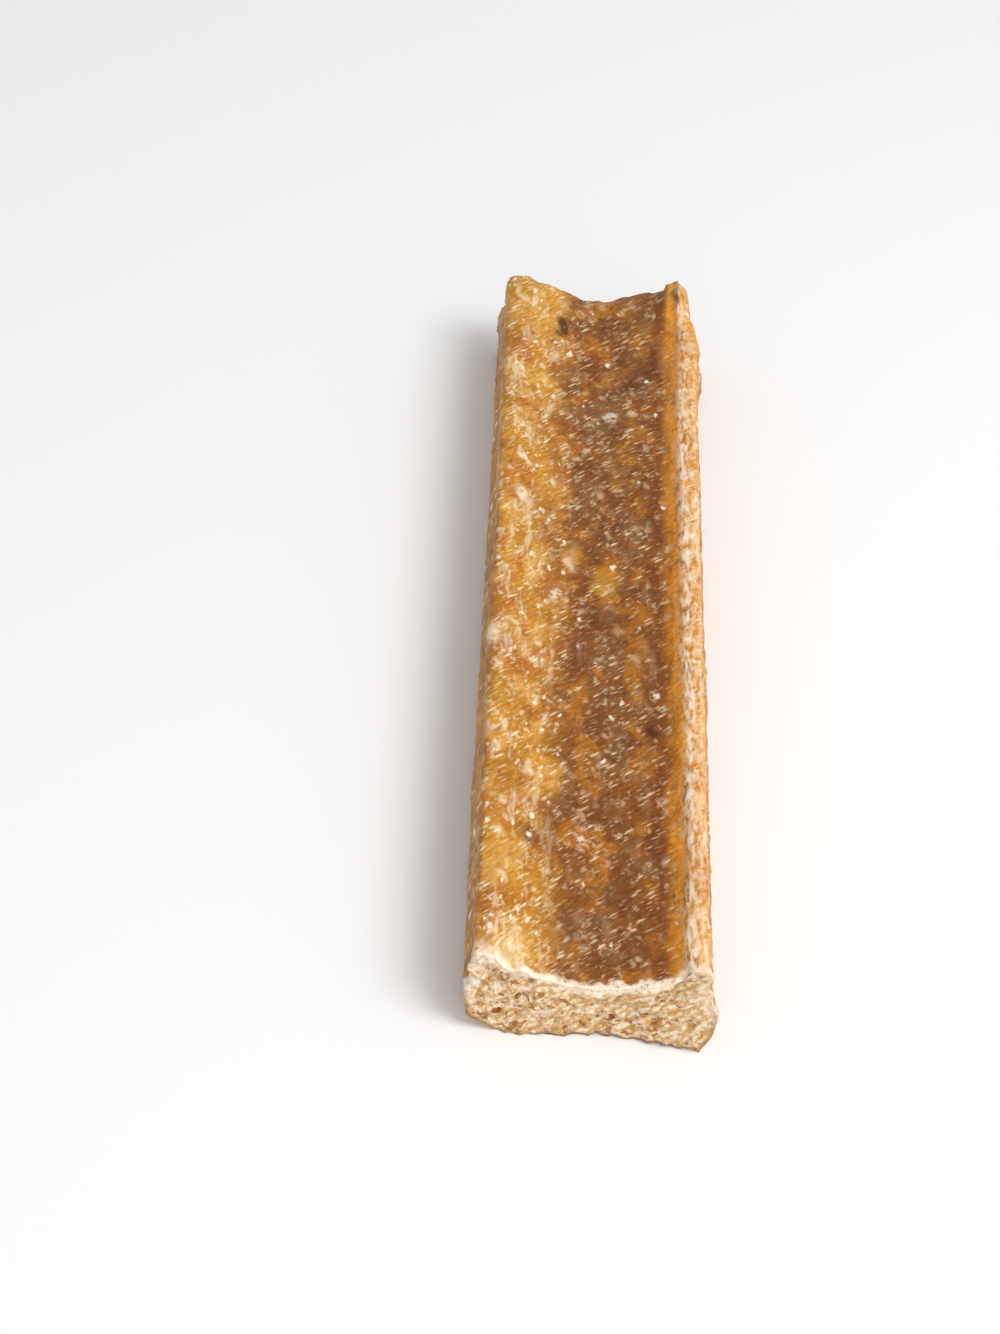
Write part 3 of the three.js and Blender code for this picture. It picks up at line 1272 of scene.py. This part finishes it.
@dataclass(frozen=True)
class DriedCheese:
    """The finish of the bar: an amber mass full of curd grains, rims white with wear and painted highlight,
    crumbly cuts.

    Attributes:
        cream: Curd grains in the channel.
        fleck: Curd grains where the bar is pale.
        white: Grains, scuffs and painted highlights at the surface.
        dark: Painted shade, a line at the foot of the right rim.
        glow: Light let through near the right rim.
        honey: Clear yellow patches.
        stain: Dark spots.
    """

    cream: Tint = Tint(240, 212, 168)
    fleck: Tint = Tint(255, 240, 204)
    white: Tint = Tint(255, 236, 210)
    dark: Tint = Tint(126, 62, 14)
    glow: Tint = Tint(255, 168, 38)
    honey: Tint = Tint(214, 152, 44)
    stain: Tint = Tint(70, 32, 22)

    @staticmethod
    def places(g: Graph) -> Places:
        """Works out the places that the patterns are laid on.

        Args:
            g: The material's graph.

        Returns:
            The places.
        """
        plain = g.scaled(g.node("ShaderNodeTexCoord").outputs["Object"], 1 / MM)
        skin = g.scaled(g.node("ShaderNodeAttribute", attribute_name=SKIN).outputs["Vector"], 1 / MM)
        across, _, up = g.parts(plain)
        along = g.product(g.parts(skin)[1], 0.75)
        curdled = g.node("ShaderNodeCombineXYZ", {0: across, 1: along, 2: up}).outputs[0]
        banded = g.stretched(curdled, (1.0, 0.4, 1.0))
        brushed = brushed_place_group().use(g, Place=skin).outputs["Place"]
        return Places(plain, curdled, banded, brushed)

    def mass(self, g: Graph, at: Places, glow: Socket, brush: Socket) -> Socket:
        """The colour between the grains: the amber mass, the dark line of painted shade, the orange band of
        painted glow and the honey.

        Args:
            g: The material's graph.
            at: The places that the patterns are laid on.
            glow: How strong the painted glow of the orange band is.
            brush: Light and dark strokes along the slant of the flecks.

        Returns:
            The colour.
        """
        body = amber_body_group().use(g, Place=at.curdled, Paleness=g.zone(Zone.PALE))
        wander = g.rise(g.noise(at.banded, 0.5, 3.0), 0.3, 0.55)
        # Painted shade: the dark line at the foot of the right rim.
        colour = g.mix(g.product(g.zone(Zone.FOOT), wander, 0.7), body.outputs["Color"], self.dark)
        colour = g.mix(glow, colour, self.glow)
        colour = g.mix(g.product(g.zone(Zone.HONEY), 0.75), colour, self.honey)
        value = g.blend(brush, 0.78, 1.18)
        return g.node("ShaderNodeHueSaturation", {"Value": value, "Color": colour}).outputs[0]

    @staticmethod
    def curds(g: Graph, at: Places, clear: Socket) -> Curds:
        """Strews the grains: large and middle ones, and flecks and dashes drawn out along the slant.

        Args:
            g: The material's graph.
            at: The places that the patterns are laid on.
            clear: How free of stain and glow the place is.

        Returns:
            Where each kind of grain shows.
        """
        pale = g.zone(Zone.PALE)
        grains = curd_grain_group()

        def strewn(place: Socket, size: float, share: object, softness: float, bend: float = 1.2) -> Socket:
            """The mask of grains of one size."""
            node = grains.use(g, Place=place, Size=size, Share=share, Softness=softness, Bend=bend)
            return node.outputs["Mask"]

        blobs = strewn(at.curdled, 2.4, g.blend(pale, 0.3, 0.5), 0.5)
        curds = strewn(at.curdled, 1.2, g.blend(pale, 0.55, 0.7), 0.4)
        flecks = strewn(at.brushed, 0.6, 0.75, 0.35, 0.45)
        dashes = strewn(at.brushed, 0.36, 0.8, 0.45, 0.4)
        # Glints: white dots, partly white curds and partly painted highlights.
        glints = strewn(at.curdled, 1.25, g.blend(pale, 0.05, 0.26), 0.3, 0.8)
        cloud = g.noise(g.added(at.curdled, (19.0, 3.0, 8.0)), 0.3, 3.0)
        crowd = g.blend(g.rise(cloud, 0.36, 0.58), 0.35, 1.0)
        broken = g.product(g.rise(g.noise(at.curdled, 1.3, 4.0, 0.6), 0.4, 0.62), g.blend(pale, 0.45, 0.6))
        grown = g.product(g.rise(g.zone(Zone.CURD), 0.2, 0.9), broken)
        bands = g.rise(g.noise(g.added(at.banded, (7.0, 29.0, 4.0)), 0.5, 4.0, 0.6), 0.53, 0.68)
        bands = g.product(bands, g.blend(pale, 0.1, 0.6))
        flake = g.product(g.zone(Zone.FLAKE), g.rise(g.noise(at.plain, 1.2, 3.0), 0.3, 0.55), 0.75)
        return Curds(
            large=g.largest(g.product(blobs, g.blend(pale, 0.45, 0.8)), grown, bands),
            middle=g.product(curds, crowd, g.blend(pale, 0.5, 0.85)),
            small=g.product(g.largest(flecks, g.product(dashes, 0.8)), crowd, clear, 0.85),
            bright=g.largest(g.product(glints, 0.9), flake),
        )

    def material(self) -> bpy.types.Material:
        """Builds the finish.

        Returns:
            The material.
        """
        material = bpy.data.materials.new("dried_cheese")
        material.use_nodes = True
        material.node_tree.nodes.clear()
        g = Graph(material.node_tree)
        at = self.places(g)
        is_cut, stain = g.zone(Zone.CUT), g.zone(Zone.STAIN)
        glow = g.product(g.zone(Zone.GLOW), g.rise(g.noise(at.banded, 0.8, 4.0, 0.6), 0.2, 0.52))
        brush = g.rise(g.noise(at.brushed, 2.2, 2.0), 0.3, 0.7)
        clear = g.math("SUBTRACT", 1.0, g.largest(stain, g.product(glow, 0.5)))
        curds = self.curds(g, at, clear)
        light = g.mix(g.zone(Zone.PALE), self.cream, self.fleck)
        colour = self.mass(g, at, glow, brush)
        colour = g.mix(g.product(g.largest(curds.large, curds.middle), clear), colour, light)
        colour = g.mix(curds.small, colour, light)
        colour = g.mix(g.product(stain, 0.9), colour, self.stain)
        colour = g.mix(curds.bright, colour, self.white)
        # White along the rims: partly wear, partly painted highlight.
        wear_and_highlight = g.product(g.zone(Zone.SCUFF_AND_HIGHLIGHT), g.rise(g.noise(at.banded, 1.6, 4.0, 0.6), 0.38, 0.6))
        colour = g.mix(wear_and_highlight, colour, self.white)

        streak = g.noise(at.brushed, 1.6, 3.0)
        cut = crumbly_cut_group().use(g, Place=at.plain, Pit=g.zone(Zone.PIT), Streak=streak)
        colour = g.mix(is_cut, colour, cut.outputs["Color"])
        lip = g.product(g.zone(Zone.LIP), g.rise(g.noise(at.plain, 1.6, 4.0, 0.6), 0.25, 0.5))
        colour = g.mix(lip, colour, self.white)

        dry = g.largest(wear_and_highlight, is_cut, g.product(g.largest(curds.large, curds.small), 0.6))
        strokes = g.product(g.math("ADD", curds.small, brush), 0.4)
        raised = g.math("ADD", g.noise(at.plain, 2.6, 4.0, 0.6), strokes)
        height = g.math("ADD", raised, g.product(cut.outputs["Height"], is_cut))
        bump = g.node("ShaderNodeBump", {"Strength": 0.6, "Distance": 0.12 * MM, "Height": height})
        shader = g.node("ShaderNodeBsdfPrincipled", {
            "Base Color": colour, "Roughness": g.blend(dry, 0.48, 0.85), "Normal": bump.outputs[0],
            "IOR": 1.46, "Specular IOR Level": 0.3, "Subsurface Weight": 0.12,
            "Subsurface Radius": (1.0, 0.5, 0.22), "Subsurface Scale": 0.9 * MM,
        })
        g.node("ShaderNodeOutputMaterial", {"Surface": shader.outputs[0]})
        return material


@dataclass(frozen=True)
class Lamp:
    """A soft square lamp that points at the bar.

    Attributes:
        name: The lamp's name.
        place: Where it stands, from the middle of the bar.
        side: Length of its side.
        power: Its power in watts.
    """

    name: str
    place: tuple[float, float, float]
    side: float
    power: float

    def build(self) -> None:
        """Makes the lamp and turns it to the middle of the bar."""
        light = bpy.data.lights.new(self.name, "AREA")
        light.size = self.side
        light.energy = self.power
        lamp = bpy.data.objects.new(self.name, light)
        lamp.location = self.place
        lamp.rotation_euler = (-Vector(self.place)).to_track_quat("-Z", "Y").to_euler()
        bpy.context.scene.collection.objects.link(lamp)


@dataclass(frozen=True)
class Studio:
    """The pale table, the soft light and the camera.

    Attributes:
        lamps: The lamps.
        sky: Strength of the even light from all round.
        table_side: Length of the table's side.
        aim: The point that the camera looks at.
        distance: From that point to the camera.
        heading: Which way the camera looks, turned from +Y towards -X.
        pitch: How far the camera looks down.
        roll: How far the camera is turned about its view.
        lens: Focal length, for a picture 36 mm on its long side.
    """

    lamps: tuple[Lamp, ...] = (
        Lamp("key_lamp", (0.42, -0.25, 0.72), 0.45, 4.6),
        Lamp("front_lamp", (0.1, -0.8, 0.4), 0.8, 1.6),
    )
    sky: float = 0.55
    table_side: float = 6.0
    aim: tuple[float, float, float] = (-0.01366, -0.01396, 0.009)
    distance: float = 0.4182
    heading: float = -2.743
    pitch: float = 43.68
    roll: float = 6.71
    lens: float = 78.26

    def build(self) -> None:
        """Makes the table, the lamps, the even light and the camera."""
        self.table()
        for lamp in self.lamps:
            lamp.build()
        self.light_from_all_round()
        self.camera()

    def table(self) -> None:
        """A flat pale sheet under the bar: four corners, half its side away along X and Y."""
        half = self.table_side / 2
        corners = np.array([(-half, -half, 0), (half, -half, 0), (half, half, 0), (-half, half, 0)])
        mesh = mesh_from_arrays("table_top", corners, np.array([[0, 1, 2, 3]]), np.empty((0, 3), int))
        material = bpy.data.materials.new("pale_table")
        material.use_nodes = True
        shader = material.node_tree.nodes["Principled BSDF"]
        shader.inputs["Base Color"].default_value = (0.9, 0.9, 0.9, 1.0)
        shader.inputs["Roughness"].default_value = 0.9
        mesh.materials.append(material)
        table = bpy.data.objects.new("table", mesh)
        bpy.context.scene.collection.objects.link(table)

    def light_from_all_round(self) -> None:
        """An even white sky."""
        world = bpy.data.worlds.new("white_sky")
        world.use_nodes = True
        world.node_tree.nodes["Background"].inputs["Color"].default_value = (1.0, 1.0, 1.0, 1.0)
        world.node_tree.nodes["Background"].inputs["Strength"].default_value = self.sky
        bpy.context.scene.world = world

    def camera(self) -> None:
        """The camera: it backs away from its aim along its view, which heading, pitch and roll give."""
        data = bpy.data.cameras.new("studio_camera")
        data.lens = self.lens
        data.sensor_fit = "AUTO"
        camera = bpy.data.objects.new("studio_camera", data)
        turn = (
            Matrix.Rotation(math.radians(self.heading), 4, "Z")
            @ Matrix.Rotation(math.radians(90 - self.pitch), 4, "X")
            @ Matrix.Rotation(math.radians(self.roll), 4, "Z")
        )
        back = turn @ Vector((0.0, 0.0, self.distance))
        camera.matrix_world = Matrix.Translation(Vector(self.aim) + back) @ turn
        bpy.context.scene.collection.objects.link(camera)
        bpy.context.scene.camera = camera


def main() -> None:
    """Builds the studio and the bar, and reports each."""
    logging.basicConfig(level=logging.INFO, format="%(name)s: %(message)s")
    bpy.context.scene.view_settings.view_transform = "Standard"
    Studio().build()
    log.info("studio ready")
    cheese = CheeseBar(*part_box("cheese_bar"))
    bar = cheese.build()
    cheese.dress(bar)
    log.info("bar: %d vertices, %d faces", len(bar.data.vertices), len(bar.data.polygons))


if __name__ == "__main__":
    main()
